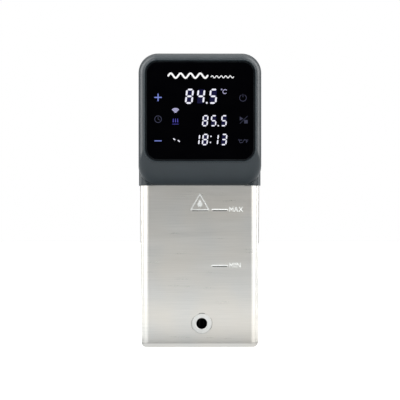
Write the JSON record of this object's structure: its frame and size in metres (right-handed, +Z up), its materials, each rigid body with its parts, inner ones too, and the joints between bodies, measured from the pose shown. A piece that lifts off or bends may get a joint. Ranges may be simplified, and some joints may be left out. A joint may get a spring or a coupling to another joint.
{
  "type": "sous vide circulator",
  "caption": "Immersion circulator: touch-glass head with a tapering console, rectangular stainless sleeve with a round water outlet, long-shaft pump and rear screw clamp.",
  "frame": {"origin": "centre of the flat base of the steel sleeve, which the circulator stands on", "axes": "+X to the right seen from the front, +Y to the rear where the clamp is, +Z up"},
  "size_m": [0.1288, 0.1877, 0.3085],
  "materials": {
    "charcoal_abs": "satin moulded ABS",
    "black_moulding": "matt black nylon",
    "touch_glass": "glossy, back-painted black",
    "brushed_stainless": "horizontal brushing",
    "plain_stainless": "drawn tube",
    "zinc_screws": "plated",
    "cast_metal": "satin die casting",
    "rubber": "matt nitrile",
    "silicone": "matt silicone",
    "pump_plastic": "glass-filled PPS",
    "bush_plastic": "PTFE",
    "bronze": "turned bronze",
    "brass_pins": "nickel flash on brass",
    "copper": "enamelled winding",
    "laminations": "varnished steel",
    "circuit_board": "solder mask",
    "led_module": "milky lens in a white case",
    "component_plastic": "moulded case",
    "transformer_core": "varnished ferrite",
    "anodised_aluminium": "black anodised"
  },
  "bodies": {
    "main_body": {"front_bezel": "charcoal_abs", "display_glass": "touch_glass", "glass_glue_frame": "rubber", "rear_housing": "charcoal_abs", "seam_seal": "rubber", "tie_rods": "zinc_screws", "rear_screws": "zinc_screws", "head_floor": "cast_metal", "floor_screws": "zinc_screws", "sleeve_gasket": "silicone", "display_carrier": "black_moulding", "carrier_screws": "zinc_screws", "display_board": "circuit_board", "digit_display": "led_module", "touch_posts": "rubber", "power_board": "circuit_board", "board_standoffs": "brass_pins", "relays": "component_plastic", "capacitors": "component_plastic", "transformer": "transformer_core", "heat_sink": "anodised_aluminium", "power_inlet": "black_moulding", "inlet_pins": "brass_pins", "inlet_screws": "zinc_screws", "immersion_sleeve": "brushed_stainless", "sleeve_screws": "zinc_screws", "outlet_nozzle": "plain_stainless", "pump_housing": "pump_plastic", "pump_cover": "pump_plastic", "lower_bush": "bush_plastic", "shaft_column": "plain_stainless", "shaft_seal": "bush_plastic", "motor_mount": "rubber", "motor_can": "cast_metal", "motor_end_plate": "cast_metal", "lower_bearing": "plain_stainless", "upper_bearing": "plain_stainless", "stator_core": "laminations", "stator_windings": "copper", "outer_heater": "plain_stainless", "inner_heater": "plain_stainless", "heater_nuts": "brass_pins", "temperature_probe": "plain_stainless", "level_probes": "plain_stainless", "clamp_bracket": "cast_metal", "bracket_screws": "zinc_screws", "bracket_back_plate": "zinc_screws", "clamp_nut": "bronze", "wall_pad": "rubber"},
    "pump_rotor": {"drive_shaft": "plain_stainless", "rotor_core": "laminations", "cooling_fan": "black_moulding", "impeller": "pump_plastic"},
    "clamp_jaw": {"clamp_foot": "cast_metal", "foot_rubber": "rubber"},
    "clamp_spindle": {"clamp_screw": "plain_stainless", "retaining_clip": "zinc_screws", "clamp_knob": "black_moulding"}
  },
  "joints": [
    {"name": "pump_spin", "type": "hinge", "parent": "main_body", "child": "pump_rotor", "pos_m": [0, 0, 0.1], "axis": [0, 0, 1], "continuous": true},
    {"name": "clamp_slide", "type": "slide", "parent": "main_body", "child": "clamp_jaw", "axis": [0, -1, 0], "range_m": [0, 0.02]},
    {"name": "knob_turn", "type": "hinge", "parent": "clamp_jaw", "child": "clamp_spindle", "pos_m": [0, 0.09, 0.14], "axis": [0, -1, 0], "range_deg": [0, 3600]}
  ],
  "couplings": [
    {"joint": "knob_turn", "follows": "clamp_slide", "rad_per_m": 3141.6}
  ]
}
